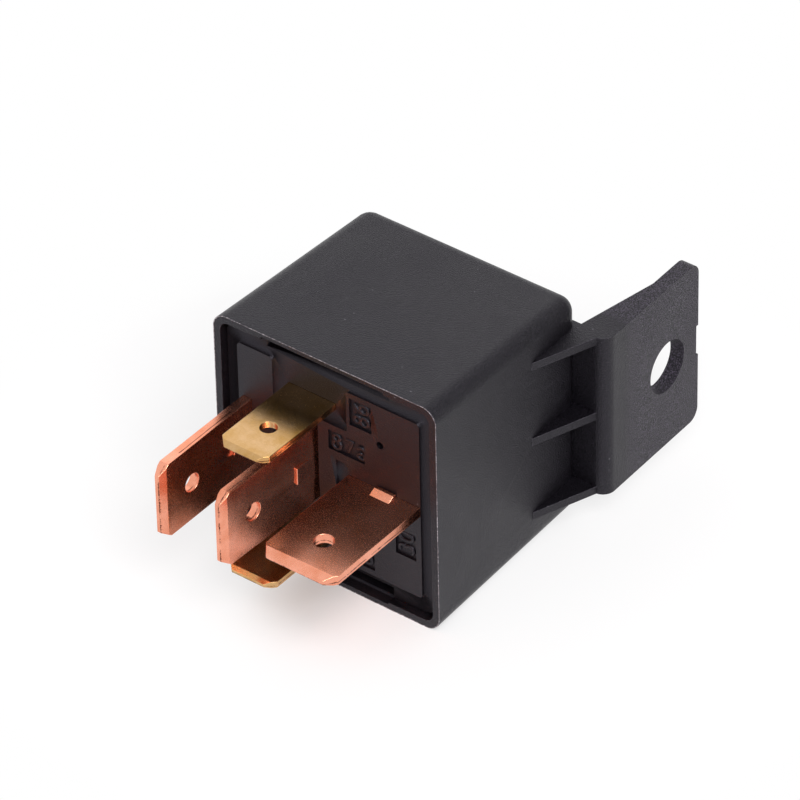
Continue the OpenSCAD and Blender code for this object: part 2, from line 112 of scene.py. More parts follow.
back = Vector((math.sin(view_azimuth) * math.cos(view_elevation),
               -math.cos(view_azimuth) * math.cos(view_elevation),
               math.sin(view_elevation)))
right = (-back).cross(Vector((0, 0, 1))).normalized()
up = right.cross(-back)
camera = bpy.data.objects.new("camera", bpy.data.cameras.new("camera"))
bpy.context.scene.collection.objects.link(camera)
turn = Matrix((right, up, back)).transposed() @ Matrix.Rotation(view_roll, 3, "Z")
camera.matrix_world = Matrix.Translation(view_target + back * view_distance) @ turn.to_4x4()
camera.data.sensor_width = 36
camera.data.lens = 311.9
camera.data.clip_start = 0.01
camera.data.clip_end = 20
bpy.context.scene.camera = camera

floor_half = 1.5
floor_mesh = bpy.data.meshes.new("floor")
floor_mesh.from_pydata([(-floor_half, -floor_half, 0), (floor_half, -floor_half, 0),
                        (floor_half, floor_half, 0), (-floor_half, floor_half, 0)], [], [(0, 1, 2, 3)])
floor = bpy.data.objects.new("floor", floor_mesh)
bpy.context.scene.collection.objects.link(floor)



def background_rays(tree):
    """1 for the rays that see the background: those of the camera, of gloss and through glass."""
    rays = add(tree, "LightPath").outputs
    seen = add(tree, "Math", {0: rays["Is Camera Ray"], 1: rays["Is Glossy Ray"]}, operation="ADD")
    return add(tree, "Math", {0: seen.outputs[0], 1: rays["Is Transmission Ray"]}, operation="ADD",
               use_clamp=True).outputs[0]


# White paper. It keeps the relay's shadow, thinned near it by a share of plain white glow,
# which is painted light, and fades to plain white further out.
paper, out = new_material("white_paper")
tree = paper.node_tree
place = add(tree, "TexCoord").outputs["Object"]
reach = add(tree, "VectorMath", {0: place}, operation="LENGTH").outputs["Value"]
white = add(tree, "MapRange", {"Value": reach, "From Min": 30 * MM, "From Max": 55 * MM},
            interpolation_type="SMOOTHSTEP").outputs["Result"]
# painted shade: the share of white glow is smallest round a given point where the blades shade the floor
under_blades = (3 * MM, -16 * MM, 0)
from_blades = add(tree, "VectorMath", {0: place, 1: under_blades}, operation="DISTANCE").outputs["Value"]
share = add(tree, "MapRange", {"Value": from_blades, "From Min": 4 * MM, "From Max": 14 * MM,
                               "To Min": 0.1, "To Max": 0.7},
            interpolation_type="SMOOTHSTEP").outputs["Result"]
white = add(tree, "Math", {0: white, 1: share}, operation="MAXIMUM").outputs[0]
white = add(tree, "Math", {0: white, 1: background_rays(tree)}, operation="MULTIPLY").outputs[0]
matt = add(tree, "BsdfDiffuse", {"Color": linear("#fefcfd")}).outputs[0]
glow = add(tree, "Emission", {"Color": (1, 1, 1, 1), "Strength": 1.0}).outputs[0]
mixed = add(tree, "MixShader", {0: white, 1: matt, 2: glow})
tree.links.new(mixed.outputs[0], out.inputs["Surface"])
floor_mesh.materials.append(paper)

world = bpy.data.worlds.new("studio")
bpy.context.scene.world = world
world.use_nodes = True
tree = world.node_tree
tree.nodes.clear()
room_level = 0.65
level = add(tree, "MapRange", {"Value": background_rays(tree), "To Min": room_level, "To Max": 1.0})
sky = add(tree, "Background", {"Color": (1, 1, 1, 1), "Strength": level.outputs[0]}).outputs[0]
add(tree, "OutputWorld", {"Surface": sky})


def facing(place):
    """Placement at place that looks at the relay's middle along its own -Z."""
    look = (middle - Vector(place)).to_track_quat("-Z", "Y")
    return Matrix.Translation(place) @ look.to_matrix().to_4x4()


for name, place, size, watts in (("key_box", (0.39, -0.27, 0.51), 0.4, 3.9),
                                 ("back_box", (-0.37, 0.47, 0.46), 0.6, 0.34)):
    lamp = bpy.data.lights.new(name, "AREA")
    lamp.shape = "SQUARE"
    lamp.size = size
    lamp.energy = watts
    soft_box = bpy.data.objects.new(name, lamp)
    bpy.context.scene.collection.objects.link(soft_box)
    soft_box.matrix_world = facing(place)

flag_x, flag_y = 0.36, 0.25         # half sides
flag_mesh = bpy.data.meshes.new("black_flag")
flag_mesh.from_pydata([(-flag_x, -flag_y, 0), (flag_x, -flag_y, 0),
                       (flag_x, flag_y, 0), (-flag_x, flag_y, 0)], [], [(0, 1, 2, 3)])
flag = bpy.data.objects.new("black_flag", flag_mesh)
bpy.context.scene.collection.objects.link(flag)
flag.matrix_world = facing((0.37, 0.37, 0.30))

# Black felt, which only the relay sees.
felt, out = new_material("black_felt")
tree = felt.node_tree
place = add(tree, "TexCoord").outputs["Object"]
nap = add(tree, "TexNoise", {"Vector": place, "Scale": 400.0}).outputs["Fac"]
nap = add(tree, "Mix", {0: nap, "A": linear("#060606"), "B": linear("#141414")}, data_type="RGBA")
dark = add(tree, "BsdfDiffuse", {"Color": nap.outputs["Result"]}).outputs[0]
clear = add(tree, "BsdfTransparent").outputs[0]
mixed = add(tree, "MixShader", {0: add(tree, "LightPath").outputs["Is Camera Ray"], 1: dark, 2: clear})
tree.links.new(mixed.outputs[0], out.inputs["Surface"])
flag_mesh.materials.append(felt)

view = bpy.context.scene.view_settings
view.view_transform = "Standard"

# ---- Base plate ------------------------------------------------------------------------
# Square plate of black glass-filled nylon that carries the blades and snaps into the cover's
# rim. Injection moulded, with raised lands round the blades and sunk places for the numbers.


def eased_copy(node, name, ease, limit=15):
    """Copy of a CAD node, merged to one skin, its outer edges sharper than limit degrees eased.

    Inner corners stay sharp. The narrow faces of the eased edges take the piece's second material.
    """
    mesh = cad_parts[node].data.copy()
    mesh.name = name
    skin = bmesh.new()
    skin.from_mesh(mesh)
    bmesh.ops.remove_doubles(skin, verts=skin.verts, dist=2e-6)
    flat = [edge for edge in skin.edges if edge.is_manifold and edge.calc_face_angle() < 1e-3]
    bmesh.ops.beautify_fill(skin, faces=skin.faces, edges=flat)
    weight = skin.edges.layers.float.new("bevel_weight_edge")
    sharp = math.radians(limit)
    for edge in skin.edges:
        edge[weight] = float(edge.is_manifold and edge.is_convex and edge.calc_face_angle() > sharp)
    skin.to_mesh(mesh)
    skin.free()
    mesh.materials.clear()
    mesh.shade_smooth()
    mesh.set_sharp_from_angle(angle=sharp)
    piece = bpy.data.objects.new(name, mesh)
    bpy.context.scene.collection.objects.link(piece)
    if ease:
        bevel = piece.modifiers.new("eased_edges", "BEVEL")
        bevel.width = ease
        bevel.segments = 2
        bevel.limit_method = "WEIGHT"
        bevel.use_clamp_overlap = False
        bevel.loop_slide = False
        bevel.harden_normals = True
        bevel.material = 1
    return piece


def set_back(piece, low, high, move, cuts=()):
    """Moves the part of a copy's skin between the corners low and high, for a shallow recess.

    The skin is first cut along the planes (axis, place) of cuts, so that only that part moves.
    """
    mesh = piece.data
    skin = bmesh.new()
    skin.from_mesh(mesh)
    for axis, at in cuts:
        bmesh.ops.bisect_plane(skin, geom=skin.verts[:] + skin.edges[:] + skin.faces[:], dist=1e-7,
                               plane_co=np.eye(3)[axis] * at, plane_no=np.eye(3)[axis])
    skin.to_mesh(mesh)
    skin.free()
    points = np.empty(3 * len(mesh.vertices), dtype=np.float32)
    mesh.vertices.foreach_get("co", points)
    points = points.reshape(-1, 3)
    points[np.all((points > np.array(low)) & (points < np.array(high)), axis=1)] += np.array(move)
    mesh.vertices.foreach_set("co", points.ravel())
    mesh.update()
    mesh.set_sharp_from_angle(angle=math.radians(15))


def fit_out(piece, materials, body, slot, *nodes):
    """Gives a finished piece its materials and body, and hides the CAD nodes it stands for. The slot is not
    used.
    """
    for material in materials:
        piece.data.materials.append(material)
    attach(piece, body)
    if nodes:
        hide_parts(*nodes)


def nylon(name, colour, light, roughness, grain, depth, ior=1.5, coarse_from=10.0, painted_glint_gain=1.0):
    """Glass-filled nylon, injection moulded in a spark-eroded tool.

    The eye gets an even matt skin with a fine pitted grain whose sparkle is painted: a painted
    glint lightens the colour in specks where the grain's noise is high. There are faint cloudy
    flow marks a few millimetres across, thin scuffs, and a few pale specks of fibre and dust.
    Beyond coarse_from along Y the tool was eroded coarser, which deepens the relief there; the
    painted glint is made stronger there as well, which paints that part paler. Unless given,
    coarse_from lies beyond every piece.
    """
    material, out = new_material(name)
    tree = material.node_tree
    place = add(tree, "TexCoord").outputs["Object"]
    pits = add(tree, "TexNoise", {"Vector": place, "Scale": 1 / grain, "Detail": 2.0,
                                  "Roughness": 0.6}).outputs["Fac"]
    cloud = add(tree, "TexNoise", {"Vector": place, "Scale": 1 / (7 * MM), "Detail": 4.0,
                                   "Roughness": 0.6}).outputs["Fac"]
    along_y = add(tree, "SeparateXYZ", {0: place}).outputs["Y"]
    rough_part = add(tree, "MapRange", {"Value": along_y, "From Min": coarse_from - 0.7 * MM,
                                        "From Max": coarse_from + 0.7 * MM}).outputs[0]
    # painted glint: lighter specks of colour that stand for facets of the grain facing the lamp
    painted_glint = add(tree, "MapRange", {"Value": pits, "From Min": 0.48, "From Max": 0.64}).outputs[0]
    # beyond coarse_from the painted glint is made stronger, which paints that part paler
    gain = add(tree, "Math", {0: rough_part, 1: painted_glint_gain, 2: 1.0}, operation="MULTIPLY_ADD").outputs[0]
    tone = add(tree, "Math", {0: painted_glint, 1: gain}, operation="MULTIPLY").outputs[0]
    tone = add(tree, "Math", {0: cloud, 1: 0.25, 2: tone}, operation="MULTIPLY_ADD").outputs[0]
    body = add(tree, "Mix", {0: tone, "A": linear(colour), "B": linear(light)}, data_type="RGBA",
               clamp_factor=False)
    # scuffs: short pale hair lines
    turned = add(tree, "Mapping", {"Vector": place, "Rotation": (0.5, 0.3, 0.6),
                                   "Scale": (1 / (0.15 * MM), 1 / (6 * MM), 1 / (0.15 * MM))}).outputs[0]
    hair = add(tree, "TexNoise", {"Vector": turned, "Scale": 1.0, "Detail": 1.0}).outputs["Fac"]
    hair = add(tree, "MapRange", {"Value": hair, "From Min": 0.70, "From Max": 0.78,
                                  "To Max": 0.12}).outputs[0]
    cells = add(tree, "TexVoronoi", {"Vector": place, "Scale": 1 / (1.1 * MM)}, feature="F1").outputs
    speck = add(tree, "MapRange", {"Value": cells["Distance"], "From Min": 0.09,
                                   "From Max": 0.05}).outputs[0]
    rare = add(tree, "SeparateColor", {"Color": cells["Color"]}).outputs[0]
    rare = add(tree, "Math", {0: rare, 1: 0.80}, operation="GREATER_THAN").outputs[0]
    speck = add(tree, "Math", {0: speck, 1: rare, 2: hair}, operation="MULTIPLY_ADD").outputs[0]
    skin = add(tree, "Mix", {0: speck, "A": body.outputs["Result"], "B": linear("#6f6d74")},
               data_type="RGBA")
    sheen = add(tree, "MapRange", {"Value": cloud, "From Min": 0.3, "From Max": 0.7,
                                   "To Min": roughness - 0.04, "To Max": roughness + 0.04}).outputs[0]
    bite = add(tree, "MapRange", {"Value": rough_part, "To Min": 0.5, "To Max": 1.0}).outputs[0]
    relief = add(tree, "Bump", {"Height": pits, "Strength": bite, "Distance": 2 * depth,
                                "Filter Width": 0.1}).outputs[0]
    plastic = add(tree, "BsdfPrincipled", {"Base Color": skin.outputs["Result"], "Roughness": sheen,
                                           "Normal": relief, "IOR": ior,
                                           "Specular Tint": linear("#f3ecff")}).outputs[0]
    tree.links.new(plastic, out.inputs["Surface"])
    return material


base_nylon = nylon("base_nylon", "#070508", "#171216", 0.36, 0.15 * MM, 0.08 * MM, ior=1.42)
base_plate = eased_copy("base", "base_plate", 0)
base_low, base_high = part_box("base")
cover_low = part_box("cover")[0]
rim_half = 14.75 * MM
plug_x, plug_z = cover_low.x + rim_half, (base_low.z + base_high.z) / 2
# the snap slots over the cover's catches, one at the top and one at the bottom, are made deeper
slot_left, slot_right = plug_x - 8.3 * MM, plug_x + 7.9 * MM
recess = 0.3 * MM
for side in (-1, 1):
    slot_floor = plug_z + side * 12.75 * MM
    set_back(base_plate, (slot_left - 0.1 * MM, base_low.y, slot_floor - 0.05 * MM),
             (slot_right + 0.1 * MM, base_low.y + 3 * MM, slot_floor + 0.05 * MM), (0, 0, -side * recess))
fit_out(base_plate, [base_nylon], "housing", "base_moulding", "base")

# ---- Terminal numbers ------------------------------------------------------------------
# The usual contact numbers of a changeover relay, raised in the sunk places beside the
# blades. They are part of the base moulding, cut into its tool with a round-nosed cutter.


def arc(x, y, half_w, half_h, start, end, steps=18):
    """Points on an ellipse about x, y from start to end degrees, counter-clockwise positive."""
    a = np.radians(np.linspace(start, end, steps))
    return np.stack([x + half_w * np.cos(a), y + half_h * np.sin(a)], 1)


def along(corners, steps=6):
    """Points along straight lines between corners, evenly split."""
    corners = np.array(corners, float)
    t = np.linspace(0, len(corners) - 1, (len(corners) - 1) * steps + 1)
    i = np.minimum(t.astype(int), len(corners) - 2)
    return corners[i] + (corners[i + 1] - corners[i]) * (t - i)[:, None]


# Each character is drawn as cutter paths in a cell 0.62 wide and 1 high.
STROKES = {
    "0": [arc(0.31, 0.5, 0.25, 0.44, 90, 450, 30)],
    "3": [arc(0.29, 0.73, 0.2, 0.21, 160, -90), arc(0.29, 0.28, 0.24, 0.24, 90, -160)],
    "5": [along([(0.52, 0.94), (0.12, 0.94), (0.1, 0.56)]), arc(0.28, 0.32, 0.25, 0.27, 130, -150)],
    "6": [arc(0.31, 0.3, 0.24, 0.25, 90, 450, 26), arc(0.57, 0.3, 0.5, 0.62, 100, 180)],
    "7": [along([(0.05, 0.93), (0.55, 0.93), (0.22, 0.05)])],
    "8": [arc(0.31, 0.73, 0.2, 0.2, -90, 270, 24), arc(0.31, 0.28, 0.25, 0.25, 90, 450, 26)],
    "a": [arc(0.29, 0.56, 0.22, 0.22, 165, 0), along([(0.51, 0.56), (0.51, 0.05)]),
          arc(0.29, 0.23, 0.22, 0.17, 60, 330)],
}


def ridge(path, width, height):
    """Half-round ridge carried along a flat path, its ends tapering to a point.

    Across the path it is half an ellipse: width/2 times cos(a) sideways, height times the
    square root of sin(a) up. Within half a width of each end both shrink as a circle does.
    """
    step = np.linalg.norm(np.diff(path, axis=0), axis=1)
    run = np.concatenate([[0], np.cumsum(step)])
    from_end = np.minimum(run, run[-1] - run)
    closed = np.linalg.norm(path[0] - path[-1]) < 1e-6
    swell = np.ones(len(path)) if closed else np.sqrt(
        np.clip(1 - (1 - np.minimum(from_end / (width / 2), 1)) ** 2, 1e-4, 1))
    heading = np.gradient(path, axis=0)
    heading /= np.linalg.norm(heading, axis=1)[:, None]
    if closed:
        heading[0] = heading[-1] = (heading[0] + heading[-1]) / 2
    side = np.stack([-heading[:, 1], heading[:, 0]], 1)
    a = np.linspace(0, math.pi, 9)
    across = width / 2 * np.cos(a)
    rise = height * np.sqrt(np.abs(np.sin(a)))
    flat = path[:, None, :] + side[:, None, :] * (across[None, :] * swell[:, None])[:, :, None]
    return np.concatenate([flat, (rise[None, :] * swell[:, None])[:, :, None]], 2)


def grid_faces(rows, columns, wrap=False):
    """Quads between neighbouring points of a grid, its rows joined end to end when wrapped."""
    i = np.arange(rows - 1)[:, None]
    j = np.arange(columns if wrap else columns - 1)[None, :]
    k = (j + 1) % columns
    quads = np.stack([i * columns + j, i * columns + k, (i + 1) * columns + k, (i + 1) * columns + j], 2)
    return quads.reshape(-1, 4)


def mesh_piece(name, parts):
    """One object from a list of (points, faces), smooth and with its normals outwards."""
    points = np.concatenate([p.reshape(-1, 3) for p, _ in parts])
    shift = np.cumsum([0] + [p.size // 3 for p, _ in parts[:-1]])
    faces = [tuple(face) for (_, quads), first in zip(parts, shift) for face in (quads + first).tolist()]
    mesh = bpy.data.meshes.new(name)
    mesh.from_pydata(points.tolist(), [], faces)
    skin = bmesh.new()
    skin.from_mesh(mesh)
    bmesh.ops.remove_doubles(skin, verts=skin.verts, dist=1e-7)
    bmesh.ops.recalc_face_normals(skin, faces=skin.faces)
    skin.to_mesh(mesh)
    skin.free()
    mesh.shade_smooth()
    piece = bpy.data.objects.new(name, mesh)
    bpy.context.scene.collection.objects.link(piece)
    return piece


def number(name, word, x, z, size, upright):
    """Raised number on the base, its first character's lower left corner at x, z.

    An upright number reads along +X; the others are turned a quarter and read up +Z.
    """
    stroke = 0.19 * size
    parts = []
    for place, character in enumerate(word):
        for path in STROKES[character]:
            flat = ridge((path + [place * 0.78, 0]) * size, stroke, 0.24 * MM)
            u, v, rise = flat[..., 0], flat[..., 1], flat[..., 2]
            across, height = (u, v) if upright else (-v, u)
            points = np.stack([x + across, well_y - rise, z + height], -1)
            parts.append((points, grid_faces(*points.shape[:2])))
    return mesh_piece(name, parts)


well_y = base_low.y + 0.3 * MM      # floor of the sunk places
digit = 2.1 * MM
# first corner of each number in mm from the plug axis, and whether it stands upright
places = {"86": (2.9 + 2.5, 7.45 + 0.35, False), "85": (2.9 + 2.5, -10.9 + 0.35, False),
          "87a": (0.35, 2.95 + 0.22, True), "30": (8.7 + 2.3, -6.9 + 0.3, False),
          "87": (-11.4 + 0.3, -10.9 + 0.28, True)}
for word, (x, z, upright) in places.items():
    raised = number("number_" + word, word, plug_x + x * MM, plug_z + z * MM, digit, upright)
    fit_out(raised, [base_nylon], "housing", "base_moulding")

# ---- Terminals -------------------------------------------------------------------------
# Three wide load blades of copper strip and two narrower coil blades of brass strip, each
# blanked and bent in one piece, pushed into the base from inside and locked by a lance.


def strip_metal(name, bright, dull, roughness, across=None, middle_at=0.0, clean=0.22,
                lean=0.0, lean_from=0.0):
    """Rolled non-ferrous strip, blanked and left bare.

    The eye gets a satin metal: fine streaks along the strip, small pits that scatter its
    reflections into specks, and thin tarnish in clouds. A blanked strip shows on its cut edges
    the dark torn line where the shear ended, clean mm off the middle plane: across names the
    axis through the strip's thickness, and middle_at is where its middle plane lies; below
    lean_from along Y that plane leans by lean.
    """
    material, out = new_material(name)
    tree = material.node_tree
    place = add(tree, "TexCoord").outputs["Object"]
    pits = add(tree, "TexNoise", {"Vector": place, "Scale": 1 / (0.13 * MM), "Detail": 3.0,
                                  "Roughness": 0.65}).outputs["Fac"]
    drawn = add(tree, "Mapping", {"Vector": place,
                                  "Scale": (1 / (0.12 * MM), 1 / (3 * MM), 1 / (0.12 * MM))})
    streaks = add(tree, "TexNoise", {"Vector": drawn.outputs[0], "Scale": 1.0, "Detail": 2.0}).outputs["Fac"]
    cloud = add(tree, "TexNoise", {"Vector": place, "Scale": 1 / (3 * MM), "Detail": 5.0,
                                   "Roughness": 0.7}).outputs["Fac"]
    tarnish = add(tree, "MapRange", {"Value": cloud, "From Min": 0.38, "From Max": 0.7}).outputs[0]
    skin = add(tree, "Mix", {0: tarnish, "A": linear(bright), "B": linear(dull)}, data_type="RGBA")
    skin_colour = skin.outputs["Result"]
    sheen = add(tree, "MapRange", {"Value": pits, "From Min": 0.3, "From Max": 0.7,
                                   "To Min": roughness - 0.05, "To Max": roughness + 0.08}).outputs[0]
    if across:
        level = add(tree, "SeparateXYZ", {0: place}).outputs[across]
        level = add(tree, "Math", {0: level, 1: middle_at - clean * MM}, operation="SUBTRACT").outputs[0]
        below = add(tree, "SeparateXYZ", {0: place}).outputs["Y"]
        below = add(tree, "Math", {0: below, 1: lean_from}, operation="SUBTRACT").outputs[0]
        below = add(tree, "Math", {0: below, 1: 0.0}, operation="MINIMUM").outputs[0]
        level = add(tree, "Math", {0: below, 1: -lean, 2: level}, operation="MULTIPLY_ADD").outputs[0]
        level = add(tree, "Math", {0: streaks, 1: 0.25 * MM, 2: level}, operation="MULTIPLY_ADD").outputs[0]
        level = add(tree, "Math", {0: level, 1: 0.125 * MM}, operation="SUBTRACT").outputs[0]
        level = add(tree, "Math", {0: level}, operation="ABSOLUTE").outputs[0]
        torn = add(tree, "MapRange", {"Value": level, "From Min": 0.07 * MM,
                                      "From Max": 0.03 * MM}).outputs[0]
        broken = add(tree, "MapRange", {"Value": cloud, "From Min": 0.42, "From Max": 0.5}).outputs[0]
        torn = add(tree, "Math", {0: torn, 1: broken}, operation="MULTIPLY").outputs[0]
        skin = add(tree, "Mix", {0: torn, "A": skin_colour, "B": linear("#5a2c22")}, data_type="RGBA")
        skin_colour = skin.outputs["Result"]
    height = add(tree, "Math", {0: streaks, 1: 0.3, 2: pits}, operation="MULTIPLY_ADD").outputs[0]
    relief = add(tree, "Bump", {"Height": height, "Strength": 1.0, "Distance": 0.006 * MM}).outputs[0]
    metal = add(tree, "BsdfPrincipled", {"Base Color": skin_colour, "Metallic": 1.0,
                                         "Roughness": sheen, "Normal": relief}).outputs[0]
    tree.links.new(metal, out.inputs["Surface"])
    return material


def middle_of(node, axis):
    """Place of the middle of a node's box along one axis."""
    low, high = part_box(node)
    return (low[axis] + high[axis]) / 2


blade_x = {"terminal_87": plug_x - 10.9 * MM, "terminal_87a": plug_x - 2.3 * MM}
flat_copper = strip_metal("flat_copper", "#f4a78b", "#df8a68", 0.24, "Z", plug_z)
fit_out(eased_copy("terminal_30", "terminal_30_blade", 0.08 * MM, limit=10), [flat_copper] * 2,
        "housing", "copper", "terminal_30")
for node, x in blade_x.items():
    lean = 0.035 if node == "terminal_87a" else 0.0
    copper = strip_metal(node + "_copper", "#f4a78b", "#df8a68", 0.24, "X", x, -0.22, lean, base_low.y)
    blade = eased_copy(node, node + "_blade", 0.08 * MM, limit=10)
    if lean:
        # this blade was knocked: below the base it leans 2 degrees towards blade 87
        points = np.empty(len(blade.data.vertices) * 3)
        blade.data.vertices.foreach_get("co", points)
        points = points.reshape(-1, 3)
        points[:, 0] += lean * np.minimum(points[:, 1] - base_low.y, 0)
        blade.data.vertices.foreach_set("co", points.ravel())
    fit_out(blade, [copper] * 2, "housing", "copper", node)
for node in ("terminal_86", "terminal_85"):
    brass = strip_metal(node + "_brass", "#cfa97b", "#bb8f4c", 0.2, "Z", middle_of(node, 2), clean=0.12)
    fit_out(eased_copy(node, node + "_blade", 0.06 * MM, limit=10), [brass] * 2, "housing", "brass", node)

# ---- Magnet ----------------------------------------------------------------------------
# Bent yoke, turned core and hinged armature of soft iron, zinc plated. The core is staked in
# the yoke, the yoke is riveted to the common terminal's foot.


def iron(name, colour, worn, roughness, grain):
    """Pressed or turned iron or steel under a thin grey zinc plating.

    The eye gets a cool grey satin with fine tool lines, a pale bloom in clouds, and small dark
    pores.
    """
    material, out = new_material(name)
    tree = material.node_tree
    place = add(tree, "TexCoord").outputs["Object"]
    bloom = add(tree, "TexNoise", {"Vector": place, "Scale": 1 / (2.5 * MM), "Detail": 5.0}).outputs["Fac"]
    lines = add(tree, "Mapping", {"Vector": place,
                                  "Scale": (1 / grain, 1 / (12 * grain), 1 / grain)}).outputs[0]
    lines = add(tree, "TexNoise", {"Vector": lines, "Scale": 1.0, "Detail": 2.0}).outputs["Fac"]
    pores = add(tree, "TexVoronoi", {"Vector": place, "Scale": 1 / (0.6 * MM)},
                feature="F1").outputs["Distance"]
    pores = add(tree, "MapRange", {"Value": pores, "From Min": 0.12, "From Max": 0.05,
                                   "To Max": 0.6}).outputs[0]
    tone = add(tree, "MapRange", {"Value": bloom, "From Min": 0.35, "From Max": 0.7}).outputs[0]
    skin = add(tree, "Mix", {0: tone, "A": linear(colour), "B": linear(worn)}, data_type="RGBA")
    skin = add(tree, "Mix", {0: pores, "A": skin.outputs["Result"], "B": linear("#4b4a48")},
               data_type="RGBA").outputs["Result"]
    sheen = add(tree, "MapRange", {"Value": bloom, "To Min": roughness - 0.1,
                                   "To Max": roughness + 0.1}).outputs[0]
    relief = add(tree, "Bump", {"Height": lines, "Strength": 0.8, "Distance": 0.006 * MM}).outputs[0]
    metal = add(tree, "BsdfPrincipled", {"Base Color": skin, "Metallic": 1.0, "Roughness": sheen,
                                         "Normal": relief}).outputs[0]
    tree.links.new(metal, out.inputs["Surface"])
    return material


plated_iron = iron("plated_iron", "#b4b6ba", "#d2d0c8", 0.35, 0.08 * MM)
turned_iron = iron("turned_iron", "#a6a8ab", "#c0bfba", 0.28, 0.05 * MM)
rivet_brass = strip_metal("rivet_brass", "#e2c48a", "#bd9650", 0.25)
fit_out(eased_copy("yoke", "yoke_iron", 0.08 * MM), [plated_iron] * 2, "housing", "soft_iron", "yoke")
fit_out(eased_copy("core", "core_iron", 0.04 * MM), [turned_iron] * 2, "housing", "soft_iron", "core")
fit_out(eased_copy("common_rivets", "yoke_rivets", 0.04 * MM), [rivet_brass] * 2, "housing",
        "rivet_metal", "common_rivets")
fit_out(eased_copy("armature", "armature_iron", 0.08 * MM), [plated_iron] * 2, "armature_group",
        "soft_iron", "armature")

# ---- Bobbin ----------------------------------------------------------------------------
# Natural nylon tube with square flanges, injection moulded, pressed on the core under its
# pole face. It carries the winding.

natural_nylon = nylon("natural_nylon", "#d8cfb4", "#e6dfca", 0.45, 0.4 * MM, 0.01 * MM)
fit_out(eased_copy("bobbin", "bobbin_moulding", 0.1 * MM), [natural_nylon] * 2, "housing",
        "bobbin_nylon", "bobbin")

# ---- Winding ---------------------------------------------------------------------------
# Enamelled copper wire laid in close turns on the bobbin. Only its outer layer is drawn, over
# a closed sleeve that stands for the layers beneath; its two ends run to the coil blades.


def enamel(name, colour, thin):
    """Copper wire under a clear amber enamel.

    The eye gets a glossy red-brown with a slow change of tone from turn to turn and small
    thin places where the copper shows through.
    """
    material, out = new_material(name)
    tree = material.node_tree
    place = add(tree, "TexCoord").outputs["Object"]
    turns = add(tree, "Mapping", {"Vector": place,
                                  "Scale": (1 / (6 * MM), 1 / (0.5 * MM), 1 / (6 * MM))}).outputs[0]
    turns = add(tree, "TexNoise", {"Vector": turns, "Scale": 1.0, "Detail": 2.0}).outputs["Fac"]
    spots = add(tree, "TexNoise", {"Vector": place, "Scale": 1 / (0.5 * MM), "Detail": 3.0}).outputs["Fac"]
    spots = add(tree, "MapRange", {"Value": spots, "From Min": 0.62, "From Max": 0.72,
                                   "To Max": 0.5}).outputs[0]
    tone = add(tree, "Math", {0: turns, 1: 0.8, 2: spots}, operation="MULTIPLY_ADD", use_clamp=True)
    skin = add(tree, "Mix", {0: tone.outputs[0], "A": linear(colour), "B": linear(thin)},
               data_type="RGBA").outputs["Result"]
    relief = add(tree, "Bump", {"Height": spots, "Strength": 0.5, "Distance": 0.005 * MM}).outputs[0]
    wire = add(tree, "BsdfPrincipled", {"Base Color": skin, "Metallic": 0.75, "Roughness": 0.3,
                                        "Normal": relief, "Coat Weight": 0.8,
                                        "Coat Roughness": 0.08}).outputs[0]
    tree.links.new(wire, out.inputs["Surface"])
    return material


def tube(path, radius, sides=10):
    """Points and quads of a round wire along a path of points, its ends closed by a point.

    Each ring's first spoke is the last ring's, made square to the path again, so the wire
    doesn't twist.
    """
    heading = np.gradient(path, axis=0)
    heading /= np.linalg.norm(heading, axis=1)[:, None]
    spokes = [np.cross(heading[0], [0.3, 0.1, 0.9])]
    for ahead in heading[1:]:
        spokes.append(spokes[-1] / np.linalg.norm(spokes[-1]))
        spokes[-1] = spokes[-1] - ahead * (spokes[-1] @ ahead)
    spokes = np.array(spokes)
    spokes /= np.linalg.norm(spokes, axis=1)[:, None]
    others = np.cross(heading, spokes)
    a = np.linspace(0, 2 * math.pi, sides, endpoint=False)
    rings = (path[:, None] + radius * (np.cos(a)[None, :, None] * spokes[:, None]
                                       + np.sin(a)[None, :, None] * others[:, None]))
    rings = np.concatenate([np.repeat(path[:1, None], sides, 1), rings, np.repeat(path[-1:, None], sides, 1)])
    return rings, grid_faces(rings.shape[0], sides, wrap=True)


amber_enamel = enamel("amber_enamel", "#8a3a1c", "#c8763f")
low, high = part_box("coil_winding")
wire_d = 0.29 * MM
layer_r = (high.x - low.x) / 2 - wire_d / 2
axis_x = (low.x + high.x) / 2
turns = int((high.y - low.y - wire_d) / wire_d)
a = np.linspace(0, turns * 2 * math.pi, turns * 40 + 1)
helix = np.stack([axis_x + layer_r * np.cos(a),
                  np.linspace(low.y + wire_d / 2, high.y - wire_d / 2, len(a)),
                  plug_z + layer_r * np.sin(a)], 1)
bore_r = 4.07 * MM                  # the bobbin's tube
section = np.array([(bore_r, low.y), (layer_r, low.y), (layer_r, high.y), (bore_r, high.y), (bore_r, low.y)])
b = np.linspace(0, 2 * math.pi, 64, endpoint=False)
sleeve = np.stack([axis_x + section[:, :1] * np.cos(b), np.repeat(section[:, 1:], len(b), 1),
                   plug_z + section[:, :1] * np.sin(b)], -1)
winding = mesh_piece("winding_layer", [tube(helix, wire_d / 2, 8),
                                       (sleeve, grid_faces(*sleeve.shape[:2], wrap=True))])
winding.data.set_sharp_from_angle(angle=math.radians(50))
fit_out(winding, [amber_enamel], "housing", "enamelled_wire", "coil_winding")
fit_out(eased_copy("coil_leads", "winding_ends", 0, limit=70), [amber_enamel], "housing",
        "enamelled_wire", "coil_leads")

# ---- Suppression resistor --------------------------------------------------------------
# Film resistor across the coil: a lacquered ceramic body with a colour code, its tinned wires
# pushed through the lugs of the two coil blades.

